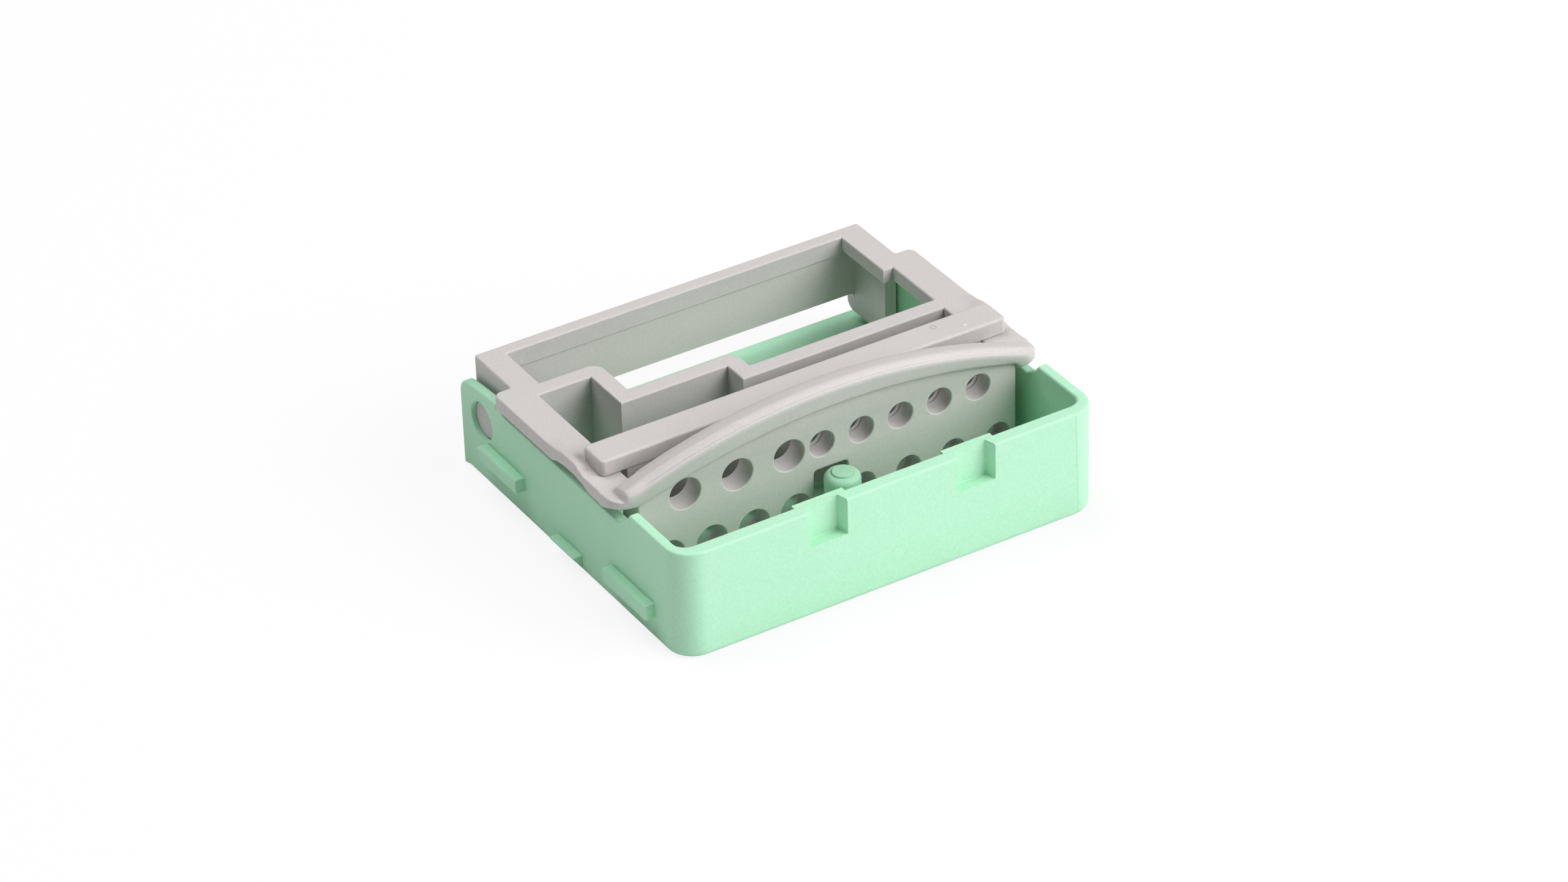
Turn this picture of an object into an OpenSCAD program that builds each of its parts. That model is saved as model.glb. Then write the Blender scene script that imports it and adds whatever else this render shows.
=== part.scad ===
// Bur holder: an open-backed tray, a bur block hinged between its rear ears,
// and a lock bar that slides sideways across the block.
// The origin is the centre of the tray's footprint, on the surface it stands on.
// +Z is up, and the tall front wall faces -Y. The block is drawn closed.

/* [Tray] */
// Width over the side walls
tray_w = 56; // [52:0.5:64]
// Depth from the front wall to the back of the ears
tray_d = 49.5; // [48:0.5:56]
// Thickness of the floor
floor_t = 2; // [1.6:0.1:2.2]
// Thickness of the side walls and ears
side_t = 1.35; // [1.2:0.05:1.5]
// Thickness of the front wall
front_t = 1.9; // [1.7:0.05:2.3]
// Height of the front wall and of the tall stretch of each side
front_h = 14; // [13:0.1:16]
// Height of the low stretch of each side wall
side_h = 11.9; // [10:0.1:12.2]
// Length of the tall stretch along each side
wrap_len = 10.75; // [8:0.25:10.75]
// Length over which it falls to the low stretch
wrap_fall = 2.5; // [1.5:0.1:2.5]
// Radius of the front corners, seen from above
corner_r = 3.4; // [2.5:0.1:5]
// Radius of the rounded edge round the underside
edge_r = 0.8; // [0.4:0.1:1.2]

/* [Ears and hinge] */
// Height of the ears at their front end
ear_h = 12.6; // [12.4:0.1:12.6]
// Length of each ear
ear_len = 8.75; // [8.5:0.05:9]
// Fall of the ear's top towards the back
ear_fall = 0.85; // [0.5:0.05:1.2]
// Radius of the ear's upper back corner
ear_r = 1.9; // [1.7:0.1:2.4]
// Radius of the ear's lower back corner
heel_r = 1.4; // [0.8:0.1:2]
// Distance of the hinge axis from the back
hinge_in = 5; // [4.8:0.05:5.2]
// Height of the hinge axis
hinge_z = 8.25; // [8.2:0.05:8.5]
// Diameter of the block's trunnions
trunnion_d = 4.8; // [3.6:0.1:5.4]
// Radial clearance of the trunnions in the ears
hinge_fit = 0.05; // [0.03:0.01:0.1]
// Depth of the trunnion's end below the ear's outer face
trunnion_recess = 0.55; // [0.3:0.05:0.8]

/* [Front pockets] */
// Width of each pocket at its mouth
pocket_w = 5.1; // [4:0.1:6]
// Depth of each pocket into the wall
pocket_depth = 1.5; // [1:0.05:1.6]
// Height of each pocket, from its floor to the wall's top
pocket_h = 4.65; // [3:0.05:6]
// Slope of each pocket's two sides, across the wall
pocket_splay = 0.5; // [0.2:0.05:0.8]
// Centre of the left pocket from the middle
left_pocket_x = 8.7; // [7:0.1:12]
// Centre of the right pocket from the middle
right_pocket_x = 11.05; // [9:0.05:14]
// Thickness of the pad behind each pocket
pad_t = 0.65; // [0.4:0.05:1]
// Margin of the pad round its pocket
pad_margin = 0.75; // [0.5:0.05:1.2]

/* [Side rails] */
// Projection of the rails from the side walls
rail_out = 1.3; // [0.8:0.1:2]
// Height of each rail
rail_h = 1.9; // [1.4:0.1:2.2]
// Length of the rear rail
rear_rail_len = 8.95; // [6:0.05:10]
// Front end of the rear rail, behind the middle
rear_rail_y = 9.95; // [8:0.05:12]
// Height of the rear rail's underside
rear_rail_z = 3.9; // [3:0.1:4.5]
// Length of the middle catch, level on top and sloping below
mid_catch_len = 5.5; // [4:0.05:7]
// Front end of the middle catch, before the middle
mid_catch_y = 2.8; // [1:0.05:4]
// Height of the middle catch's lower edge
mid_catch_z = 0.4; // [0.3:0.1:1.5]
// Length of the front rail
front_rail_len = 9.5; // [7:0.05:10]
// Front end of the front rail, before the middle
front_rail_y = 19; // [17:0.05:20]
// Height of the front rail's underside
front_rail_z = 3.1; // [2.5:0.1:4]

/* [Floor post] */
// Diameter of the post
post_d = 4.3; // [3.4:0.1:4.5]
// Height of the post above the floor
post_h = 7.3; // [5:0.1:8]
// Radius of the post's upper edge
post_edge_r = 0.75; // [0.3:0.05:1]
// Distance of the post's axis before the panel's face
post_before = 2.4; // [2.3:0.05:3.2]
// Diameter of the disc on the post
cap_d = 2.5; // [1.8:0.1:2.7]
// Height of the disc on the post
cap_h = 0.2; // [0.1:0.05:0.4]

/* [Block frame] */
// Height of the frame's top face
frame_z = 14.55; // [14.5:0.05:15]
// Thickness of the frame
frame_t = 1.8; // [1.6:0.05:1.9]
// Overhang of the frame beyond the tray's sides
overhang = 0.6; // [0.3:0.05:0.9]
// Gap between the cheeks and the ears
cheek_gap = 0.35; // [0.25:0.05:0.5]
// Gap between the frame's shoulders and the ears
shoulder_gap = 0.5; // [0.4:0.05:0.8]
// Distance of the block's back face from the tray's
block_in = 0.8; // [0.6:0.05:1]
// Width of the frame beside the rear window
rear_rim = 3.35; // [2.8:0.05:3.8]
// Width of the frame beside the bur channel
side_rim = 4.3; // [3.6:0.05:4.6]
// Distance of the frame's inner step from the back face
rim_step = 10.95; // [10:0.05:12]
// Radius of the frame's front corners
frame_corner_r = 2.6; // [2:0.1:3.2]
// Radius of its shoulders before the ears
shoulder_r = 1; // [0.5:0.1:1.4]
// Rise of the frame's underside before the panel
nose_lift = 0.5; // [0.3:0.05:0.7]
// Radius of the frame's back corners
back_corner_r = 0.4; // [0.3:0.05:1.8]
// Depth of the bar's seats below the frame's top face
seat_drop = 0.35; // [0.2:0.05:0.5]
// Length of the slope from each seat up to the frame's top face
seat_ramp = 1.6; // [1:0.1:2]
// Width of the curb that stops the bar at each side
curb_w = 0.9; // [0.6:0.05:1.1]
// Heights of the curb's top over the frame's top, from the shoulder to the front, over the frame's thickness
curb_top_shares = [0, 0, 0, 0, 0, 0, 0, 0.16, 0.3, 0.32, -0.08, -0.1, 0];
// Heights of the curb's underside over the frame's underside, at the same places
curb_under_shares = [0, 0, 0, 0, 0, 0, 0, 0.2, 0.43, 0.44, 0.26, 0, 0];

/* [Cheeks and back wall] */
// Thickness of the cheeks
cheek_t = 1.55; // [1.3:0.05:1.8]
// Gap between the cheeks and the tray's floor
cheek_lift = 1.35; // [1.2:0.05:2]
// Radius of each cheek's lower back corner
cheek_r = 1.3; // [1.3:0.1:2.6]
// Thickness of the back wall
back_t = 1.8; // [1.5:0.05:2.2]
// Height of the opening under the back wall, over the tray's floor
back_gap = 4.05; // [3:0.05:5]
// Radius of the opening's upper corners
back_gap_r = 0.6; // [0.3:0.05:1]
// Depth of the thicker upper band of the back wall
band_h = 2.45; // [2:0.05:3]
// Set-back of the back wall's inner face below the band
band_step = 0.2; // [0.1:0.05:0.4]

/* [Stop wall] */
// Thickness of the stepped stop wall
stop_t = 2.2; // [1.8:0.05:2.3]
// Gap between the stop wall and the tray's floor
stop_lift = 0.8; // [0.5:0.05:1.2]
// Depth from the panel's face to the stop for short burs
short_stop = 13.55; // [13:0.05:14]
// Depth to the stop for medium burs
mid_stop = 17; // [16.5:0.05:18]
// Depth to the stop for long burs
long_stop = 23.85; // [23:0.05:24]
// Width of the channel's deepest part, over the tray's width
long_share = 0.1232; // [0.116:0.0001:0.13]
// Width of its middle part, over the tray's width
mid_share = 0.2536; // [0.2465:0.0001:0.2605]
// Radius of the stop wall's outer corners
stop_r = 1.7; // [1:0.1:2]

/* [Panel] */
// Depth of the bay before the panel
bay_d = 13.25; // [13:0.05:14]
// Thickness of the panel
panel_t = 2.9; // [2.5:0.05:3.1]
// Gap between the panel's ends and the tray's sides
panel_gap = 1.3; // [0.8:0.05:1.5]
// Gap between the panel and the tray's floor
foot_gap = 0.3; // [0.25:0.05:0.45]
// Width of the notch for the post
notch_w = 4.45; // [4.4:0.05:5.2]
// Height of the notch over the tray's floor
notch_h = 6.85; // [6.6:0.05:7.2]
// Radius of the notch's upper corners
notch_r = 0.4; // [0.2:0.05:0.8]

/* [Bur holes] */
// Diameter of the large holes
large_d = 4; // [3:0.05:4.1]
// Diameter of the small holes
small_d = 3.3; // [2.4:0.05:3.5]
// Diameter of the narrow back end of the small holes
neck_d = 3; // [2.2:0.05:3.2]
// Length of that narrow back end
neck_len = 0.45; // [0.2:0.05:0.8]
// Height of the upper row
upper_z = 12.25; // [12:0.05:12.5]
// Height of the lower row
lower_z = 4.65; // [4.6:0.05:4.9]
// First large hole of the upper row left of the middle, over the tray's width
upper_large_share = 0.343; // [0.339:0.001:0.348]
// Pitch of the upper row's large holes, over the tray's width
upper_large_pitch_share = 0.1223; // [0.118:0.0001:0.1232]
// First small hole of the upper row left of the middle, over the tray's width
upper_small_share = 0.0205; // [0.016:0.0005:0.0215]
// Pitch of the upper row's small holes, over the tray's width
upper_small_pitch_share = 0.0946; // [0.09:0.0001:0.0962]
// First large hole of the lower row left of the middle, over the tray's width
lower_large_share = 0.3848; // [0.382:0.0001:0.3892]
// Pitch of the lower row's large holes, over the tray's width
lower_large_pitch_share = 0.1; // [0.098:0.0001:0.1008]
// First small hole of the lower row right of the middle, over the tray's width
lower_small_share = 0.0768; // [0.075:0.0001:0.082]
// Pitch of the lower row's small holes, over the tray's width
lower_small_pitch_share = 0.1098; // [0.104:0.0001:0.1106]

/* [Finger lip] */
// Rise of the lip's arch over the frame
lip_rise = 5.6; // [4:0.1:6.5]
// Depth of the lip's band, from its crest down
lip_t = 2.8; // [2.2:0.05:3.2]
// Shift of the band's lower edge to the right
under_shift = 1; // [0:0.1:1.5]
// Radius of that lower edge, over the radius of the crest
under_share = 1.12; // [1.05:0.01:1.2]
// Overhang of the lip before the panel
lip_out = 0.85; // [0.5:0.05:1]
// Fall of the lip's top towards the back
lip_fall = 0.55; // [0.3:0.05:0.8]
// Drop of the bead under the crest
bead_drop = 0.5; // [0.3:0.05:0.8]
// Radius of the bead
bead_r = 0.45; // [0.3:0.05:0.5]

/* [Lock bar] */
// Thickness of the bar
bar_t = 2.05; // [1.7:0.05:2.4]
// Depth of the bar, front to back
bar_d = 4.2; // [3.6:0.05:4.6]
// Slot between the panel and the bar
bar_slot = 2.45; // [2.1:0.05:2.8]
// Radius of the bar's corners
bar_r = 0.65; // [0.4:0.05:1]
// Length of the grip at each end of the bar
grip_len = 8.3; // [6:0.1:10]
// Set-back of the bar's front between the grips
grip_step = 0.2; // [0.1:0.05:0.6]
// Travel of the bar from locked to open
travel = 0.8; // [0.6:0.05:1.4]
// Gap at each end of the travel
end_gap = 0.1; // [0.08:0.01:0.15]
// Gap under the bar
bar_gap = 0.05; // [0.04:0.01:0.1]
// Thickness of the comb under the bar
comb_t = 1.5; // [1.2:0.05:1.6]
// Gap between the comb and the tray's floor
comb_lift = 0.8; // [0.5:0.05:1.2]
// Diameter of the comb's large holes
comb_large_d = 3.1; // [2.8:0.05:3.2]
// Diameter of the comb's small holes
comb_small_d = 2.3; // [2:0.05:2.5]
// Reach of the catches under the frame, beyond the comb's ends
catch_len = 1.5; // [1.4:0.05:1.6]
// Height of the catches
catch_h = 1.2; // [0.9:0.05:1.5]

/* [Hidden] */
$fn = 96;
green = [0.63, 0.9, 0.72];
grey = [0.78, 0.77, 0.75];

// Tray planes
half_w = tray_w / 2;
half_d = tray_d / 2;
wall_x = half_w - side_t;
ear_y = half_d - ear_len;
wrap_y = -half_d + wrap_len;
hinge_y = half_d - hinge_in;
inner_corner_r = corner_r - side_t / 2;
bore_d = trunnion_d + 2 * hinge_fit;

// Block planes
frame_under = frame_z - frame_t;
frame_x = half_w + overhang;
cheek_x = wall_x - cheek_gap;
shoulder_y = ear_y - shoulder_gap;
block_back = half_d - block_in;
back_inner = block_back - back_t;
window_x = cheek_x - rear_rim;
channel_x = frame_x - side_rim;
step_y = block_back - rim_step;
seat_z = frame_z - seat_drop;
face_y = -half_d + bay_d;
panel_back = face_y + panel_t;
panel_x = wall_x - panel_gap;
lip_front = face_y - lip_out;

// Lip arch, a circle through the crest and the frame's two sides
arch_r = (pow(frame_x, 2) + pow(lip_rise, 2)) / (2 * lip_rise);
arch_z = frame_z + lip_rise - arch_r;
under_r = under_share * arch_r;
under_z = frame_z + lip_rise - lip_t - under_r;

// Channel and stop wall
short_y = face_y + short_stop;
mid_y = face_y + mid_stop;
long_y = face_y + long_stop;
long_x = -channel_x + long_share * tray_w;
mid_x = long_x + mid_share * tray_w;

// Bar and comb
curb_x = frame_x - curb_w;
bar_right = curb_x - end_gap;
bar_left = -curb_x + end_gap + travel;
bar_front = panel_back + bar_slot;
bar_back = bar_front + bar_d;
bar_under = seat_z + bar_gap;
comb_right = channel_x - end_gap;
comb_left = -channel_x + end_gap + travel;
comb_front = bar_front + grip_step;

// Overrun of every cut
cut = tray_w / 50;

// Hole rows: a row is [number, first place, pitch, height]
upper_large = [3, -upper_large_share * tray_w, upper_large_pitch_share * tray_w, upper_z];
upper_small = [5, -upper_small_share * tray_w, upper_small_pitch_share * tray_w, upper_z];
lower_large = [4, -lower_large_share * tray_w, lower_large_pitch_share * tray_w, lower_z];
lower_small = [4, lower_small_share * tray_w, lower_small_pitch_share * tray_w, lower_z];

// Waste of a convex corner that is rounded to r and points to +X and +Y
module corner_waste(r) {
    difference() {
        translate([-r, -r]) square(r + cut);
        translate([-r, -r]) circle(r);
    }
}

// Plate drawn in Y and Z, spanning X from x0 to x1
module across(x0, x1) {
    translate([x0, 0, 0])
        rotate([90, 0, 90]) linear_extrude(x1 - x0) children();
}

// Plate drawn in X and Z, spanning Y from y0 to y1
module along(y0, y1) {
    translate([0, y1, 0])
        rotate([90, 0, 0]) linear_extrude(y1 - y0) children();
}

// Pin or bore along Y, from y0 to y1
module rod(d, x, z, y0, y1) {
    translate([x, y1, z]) rotate([90, 0, 0]) cylinder(d = d, h = y1 - y0);
}

// One rod for every hole of a row, shifted sideways by dx
module hole_row(row, d, y0, y1, dx = 0) {
    for (i = [0 : row[0] - 1]) {
        rod(d, row[1] + i * row[2] + dx, row[3], y0, y1);
    }
}

// Smooth interpolation of a list of values at a share of its length
function eased(v, s) =
    let (t = s * (len(v) - 1), i = min(floor(t), len(v) - 2), u = t - i)
    v[i] + (v[i + 1] - v[i]) * (1 - cos(180 * u)) / 2;

// Tray seen from above, without its rounded underside
module tray_plan() {
    difference() {
        translate([-half_w, -half_d]) square([tray_w, tray_d]);
        for (s = [-1, 1]) {
            scale([s, 1]) translate([half_w, -half_d]) rotate(-90) corner_waste(corner_r);
        }
    }
}

// Tray seen from the side: tall front, low middle, ear and rounded underside
module tray_side() {
    difference() {
        polygon([
            [-half_d, 0], [half_d, 0], [half_d, ear_h - ear_fall],
            [ear_y, ear_h], [ear_y, side_h], [wrap_y + wrap_fall, side_h],
            [wrap_y, front_h], [-half_d, front_h]
        ]);
        translate([-half_d, 0]) rotate(180) corner_waste(edge_r);
        translate([half_d, 0]) rotate(-90) corner_waste(heel_r);
        translate([half_d, ear_h - ear_fall]) corner_waste(ear_r);
    }
}

// Tray seen from the front: its two lower edges are rounded
module tray_front() {
    difference() {
        translate([-half_w, 0]) square([tray_w, front_h + cut]);
        for (s = [-1, 1]) {
            scale([s, 1]) translate([half_w, 0]) rotate(-90) corner_waste(edge_r);
        }
    }
}

// Hollow of the tray, open to the top and the back
module tray_hollow() {
    translate([0, 0, floor_t]) linear_extrude(front_h) {
        difference() {
            translate([-wall_x, -half_d + front_t]) square([2 * wall_x, tray_d]);
            for (s = [-1, 1]) {
                scale([s, 1]) translate([wall_x, -half_d + front_t]) rotate(-90) corner_waste(inner_corner_r);
            }
        }
    }
}

// Pocket in the front wall, open at the top, with sloping sides
module pocket(x) {
    translate([x, -half_d, front_h - pocket_h]) linear_extrude(pocket_h + cut) {
        polygon([
            [-pocket_w / 2, -cut], [pocket_w / 2, -cut], [pocket_w / 2, 0],
            [pocket_w / 2 - pocket_splay, pocket_depth],
            [-pocket_w / 2 + pocket_splay, pocket_depth], [-pocket_w / 2, 0]
        ]);
    }
}

// Pad that thickens the wall behind a pocket
module pocket_pad(x) {
    pad_w = pocket_w + 2 * pad_margin;
    pad_h = pocket_h + pad_margin;
    translate([x - pad_w / 2, -half_d + front_t / 2, front_h - pad_h])
        cube([pad_w, front_t / 2 + pad_t, pad_h]);
}

// Rail on the right side wall; its front end is at y and its underside at z
module side_rail(y, z, length) {
    translate([wall_x, y, z]) cube([side_t + rail_out, length, rail_h]);
}

// Catch on the right side wall, level on top and sloping below
module side_catch(y, z, length) {
    along(y, y + length)
        polygon([[wall_x, z], [half_w, z], [half_w + rail_out, z + rail_h], [wall_x, z + rail_h]]);
}

// Post on the floor, with a rounded edge and a disc on its top
module floor_post() {
    r = post_d / 2;
    top_r = r - post_edge_r;
    translate([0, face_y - post_before, floor_t / 2]) {
        cylinder(r = r, h = floor_t / 2 + post_h - post_edge_r);
        cylinder(r = top_r, h = floor_t / 2 + post_h);
        translate([0, 0, floor_t / 2 + post_h - post_edge_r]) rotate_extrude() {
            translate([top_r, 0]) intersection() {
                circle(post_edge_r);
                square(post_edge_r);
            }
        }
        cylinder(d = cap_d, h = floor_t / 2 + post_h + cap_h);
    }
}

module base_tray() {
    color(green) {
        difference() {
            union() {
                intersection() {
                    linear_extrude(front_h + cut) tray_plan();
                    across(-half_w, half_w) tray_side();
                    along(-half_d, half_d) tray_front();
                }
                for (s = [-1, 1]) {
                    scale([s, 1, 1]) {
                        side_rail(rear_rail_y, rear_rail_z, rear_rail_len);
                        side_catch(-mid_catch_y, mid_catch_z, mid_catch_len);
                        side_rail(-front_rail_y, front_rail_z, front_rail_len);
                    }
                }
            }
            tray_hollow();
            pocket(-left_pocket_x);
            pocket(right_pocket_x);
            translate([-half_w - cut, hinge_y, hinge_z])
                rotate([0, 90, 0]) cylinder(d = bore_d, h = tray_w + 2 * cut);
        }
        difference() {
            union() {
                pocket_pad(-left_pocket_x);
                pocket_pad(right_pocket_x);
            }
            pocket(-left_pocket_x);
            pocket(right_pocket_x);
        }
        floor_post();
    }
}

// Outline of the frame seen from above, with its shoulders before the ears
module frame_plan() {
    difference() {
        union() {
            translate([-frame_x, lip_front]) square([2 * frame_x, shoulder_y - lip_front]);
            translate([-cheek_x, shoulder_y - cut]) square([2 * cheek_x, block_back - shoulder_y + cut]);
        }
        for (s = [-1, 1]) {
            scale([s, 1]) {
                translate([frame_x, lip_front]) rotate(-90) corner_waste(frame_corner_r);
                translate([frame_x, shoulder_y]) corner_waste(shoulder_r);
                translate([cheek_x, block_back]) corner_waste(back_corner_r);
            }
        }
    }
}

// Stop wall seen from above: three steps, one for each length of bur
module stop_plan() {
    difference() {
        union() {
            translate([-panel_x, long_y]) square([panel_x + long_x + stop_t, stop_t]);
            translate([long_x, mid_y]) square([stop_t, long_y + stop_t - mid_y]);
            translate([long_x, mid_y]) square([mid_x - long_x + stop_t, stop_t]);
            translate([mid_x, short_y]) square([stop_t, mid_y + stop_t - short_y]);
            translate([mid_x, short_y]) square([panel_x - mid_x, stop_t]);
        }
        translate([long_x + stop_t, long_y + stop_t]) corner_waste(stop_r);
        translate([mid_x + stop_t, mid_y + stop_t]) corner_waste(stop_r);
    }
}

// Opening of the frame for the rear window, the channel and the panel, before the stop wall is put back
module frame_opening() {
    translate([-panel_x, lip_front - cut]) square([2 * panel_x, panel_back - lip_front + cut]);
    translate([-channel_x, panel_back]) square([2 * channel_x, long_y - panel_back]);
    translate([long_x, panel_back]) square([channel_x - long_x, step_y - panel_back]);
    translate([-window_x, long_y]) square([2 * window_x, back_inner - long_y]);
}

// Line along the frame's side, from the shoulder to the panel, at the heights of a list over z
function side_line(shares, z) =
    let (steps = 36, run = shoulder_y - panel_back)
    [for (i = [0 : steps]) [shoulder_y - run * i / steps, z + frame_t * eased(shares, i / steps)]];

// Curb along the right side of the frame, seen from the side
module curb_profile() {
    polygon(concat(
        [[shoulder_y, frame_under]], side_line(curb_top_shares, frame_z), [[panel_back, frame_under]]
    ));
}

// Hollow under the frame's right side, seen from the side
module curb_hollow() {
    polygon(concat(
        [[shoulder_y, frame_under - cut]], side_line(curb_under_shares, frame_under),
        [[panel_back, frame_under - cut]]
    ));
}

// Seat of the bar with its slope up to the frame's top, seen from the side
module seat_profile() {
    polygon([
        [panel_back, seat_z], [bar_back, seat_z], [bar_back + seat_ramp, frame_z],
        [bar_back + seat_ramp, frame_z + cut], [panel_back, frame_z + cut]
    ]);
}

// Frame with its seats for the bar and its side curbs
module frame() {
    difference() {
        union() {
            difference() {
                translate([0, 0, frame_under]) linear_extrude(frame_t) difference() {
                    frame_plan();
                    frame_opening();
                }
                for (s = [-1, 1]) {
                    scale([s, 1, 1]) {
                        across(channel_x - cut, frame_x + cut) seat_profile();
                        translate([curb_x, panel_back, frame_under - cut])
                            cube([curb_w + cut, shoulder_y - panel_back, frame_t + 2 * cut]);
                    }
                }
            }
            for (s = [-1, 1]) {
                scale([s, 1, 1]) intersection() {
                    across(curb_x, frame_x) curb_profile();
                    linear_extrude(frame_z + frame_t) frame_plan();
                }
            }
        }
        for (s = [-1, 1]) {
            scale([s, 1, 1]) across(frame_x - 2 * curb_w, frame_x + cut) curb_hollow();
        }
        translate([-frame_x - cut, lip_front - cut, frame_under - cut])
            cube([2 * (frame_x + cut), face_y - lip_front + cut, nose_lift + cut]);
    }
}

// Cheek that carries the right trunnion
module cheek() {
    across(cheek_x - cheek_t, cheek_x) difference() {
        translate([shoulder_y, floor_t + cheek_lift])
            square([block_back - shoulder_y, frame_under - floor_t - cheek_lift + frame_t / 2]);
        translate([block_back, floor_t + cheek_lift]) rotate(-90) corner_waste(cheek_r);
    }
    translate([cheek_x - cheek_t / 2, hinge_y, hinge_z]) rotate([0, 90, 0])
        cylinder(d = trunnion_d, h = half_w - trunnion_recess - cheek_x + cheek_t / 2);
}

// Back wall with its thicker upper band and the wide opening under it
module back_wall() {
    difference() {
        translate([-cheek_x, back_inner, floor_t + back_gap])
            cube([2 * cheek_x, back_t, frame_z - floor_t - back_gap]);
        translate([-cheek_x + cheek_t, back_inner - cut, floor_t])
            cube([2 * (cheek_x - cheek_t), band_step + cut, frame_z - band_h - floor_t]);
        for (s = [-1, 1]) {
            scale([s, 1, 1]) translate([cheek_x, block_back, 0])
                linear_extrude(frame_z + cut) corner_waste(back_corner_r);
        }
    }
    for (s = [-1, 1]) {
        scale([s, 1, 1]) translate([cheek_x - cheek_t, 0, floor_t + back_gap])
            along(back_inner + band_step, block_back) corner_waste(back_gap_r);
    }
}

// Panel with its two rows of holes and the notch over the post
module panel() {
    difference() {
        intersection() {
            translate([-panel_x, face_y, floor_t + foot_gap])
                cube([2 * panel_x, panel_t, frame_z + lip_rise]);
            rod(2 * (arch_r - lip_t / 2), 0, arch_z, face_y - cut, panel_back + cut);
        }
        hole_row(upper_large, large_d, face_y - cut, panel_back + cut);
        hole_row(lower_large, large_d, face_y - cut, panel_back + cut);
        hole_row(upper_small, small_d, face_y - cut, panel_back - neck_len);
        hole_row(lower_small, small_d, face_y - cut, panel_back - neck_len);
        hole_row(upper_small, neck_d, face_y, panel_back + cut);
        hole_row(lower_small, neck_d, face_y, panel_back + cut);
        along(face_y - cut, panel_back + cut) difference() {
            translate([-notch_w / 2, floor_t]) square([notch_w, notch_h]);
            for (s = [-1, 1]) {
                scale([s, 1]) translate([notch_w / 2, floor_t + notch_h]) corner_waste(notch_r);
            }
        }
    }
}

// Section of the finger lip: radius from the arch's centre, and distance before the panel's back
module lip_section() {
    crest = panel_t + lip_out - bead_r;
    polygon([
        [arch_r - lip_t, 0], [arch_r - lip_fall, 0], [arch_r, crest - bead_r],
        [arch_r - bead_drop / 2, crest], [arch_r - bead_drop - bead_r, crest + bead_r],
        [arch_r - lip_t - cut, crest + bead_r], [arch_r - lip_t - cut, panel_t], [arch_r - lip_t, panel_t]
    ]);
    translate([arch_r - bead_drop - bead_r, crest]) circle(bead_r);
}

// Finger lip, swept along the arch, ended by the frame's outline and cut below along its lower edge
module lip() {
    difference() {
        intersection() {
            translate([0, panel_back, arch_z]) rotate([90, 0, 0]) rotate_extrude($fn = 360) lip_section();
            translate([0, 0, frame_under + nose_lift])
                linear_extrude(frame_t + lip_rise + cut) frame_plan();
        }
        rod(2 * under_r, under_shift, under_z, lip_front - cut, face_y);
    }
}

module bur_block() {
    color(grey) {
        frame();
        translate([0, 0, floor_t + stop_lift])
            linear_extrude(frame_z - floor_t - stop_lift) stop_plan();
        for (s = [-1, 1]) {
            scale([s, 1, 1]) cheek();
        }
        back_wall();
        panel();
        lip();
    }
}

// Bar seen from above, with its front set back between the grips
module bar_plan() {
    difference() {
        translate([bar_left, bar_front]) square([bar_right - bar_left, bar_d]);
        translate([bar_left + grip_len, bar_front - cut])
            square([bar_right - bar_left - 2 * grip_len, grip_step + cut]);
        for (corner = [
            [bar_left, bar_front, 180], [bar_right, bar_front, -90],
            [bar_left, bar_front + bar_d, 90], [bar_right, bar_front + bar_d, 0]
        ]) {
            translate([corner[0], corner[1]]) rotate(corner[2]) corner_waste(bar_r);
        }
    }
}

// Slots of one row of the comb, open downwards
module comb_slots(row, d) {
    hole_row(row, d, comb_front - cut, comb_front + comb_t + cut, travel);
    for (i = [0 : row[0] - 1]) {
        translate([row[1] + i * row[2] + travel - d / 2, comb_front - cut, 0])
            cube([d, comb_t + 2 * cut, row[3]]);
    }
}

module lock_bar() {
    comb_foot = floor_t + comb_lift;
    color(grey) {
        translate([0, 0, bar_under]) linear_extrude(bar_t) bar_plan();
        difference() {
            union() {
                translate([comb_left, comb_front, comb_foot])
                    cube([comb_right - comb_left, comb_t, bar_under + bar_t / 2 - comb_foot]);
                translate([comb_left - catch_len, comb_front, frame_under - bar_gap - catch_h])
                    cube([comb_right - comb_left + 2 * catch_len, comb_t, catch_h]);
            }
            hole_row(upper_large, comb_large_d, comb_front - cut, comb_front + comb_t + cut, travel);
            hole_row(upper_small, comb_small_d, comb_front - cut, comb_front + comb_t + cut, travel);
            comb_slots(lower_large, comb_large_d);
            comb_slots(lower_small, comb_small_d);
        }
    }
}

base_tray();
bur_block();
lock_bar();
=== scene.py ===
"""Bur holder: an open-backed green tray, a grey bur block hinged between its ears,
and a grey lock bar that slides across the block.

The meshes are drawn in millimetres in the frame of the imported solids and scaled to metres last.
"""

import math
from types import SimpleNamespace

import bmesh
import bpy
from mathutils import Matrix, Vector
from mathutils.geometry import tessellate_polygon


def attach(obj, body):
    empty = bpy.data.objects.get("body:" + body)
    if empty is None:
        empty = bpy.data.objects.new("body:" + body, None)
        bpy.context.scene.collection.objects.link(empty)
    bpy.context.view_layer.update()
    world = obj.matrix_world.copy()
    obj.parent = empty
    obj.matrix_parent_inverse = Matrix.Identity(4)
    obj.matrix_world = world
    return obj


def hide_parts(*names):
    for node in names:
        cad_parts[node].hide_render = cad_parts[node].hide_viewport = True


bl_info = {
    "name": "Bur Holder",
    "version": (1, 1, 0),
    "blender": (4, 5, 0),
    "location": "3D View > Sidebar > Bur Holder",
    "description": "Models the bur holder's tray, block and lock bar and lights them",
    "category": "Add Mesh",
}

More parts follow.
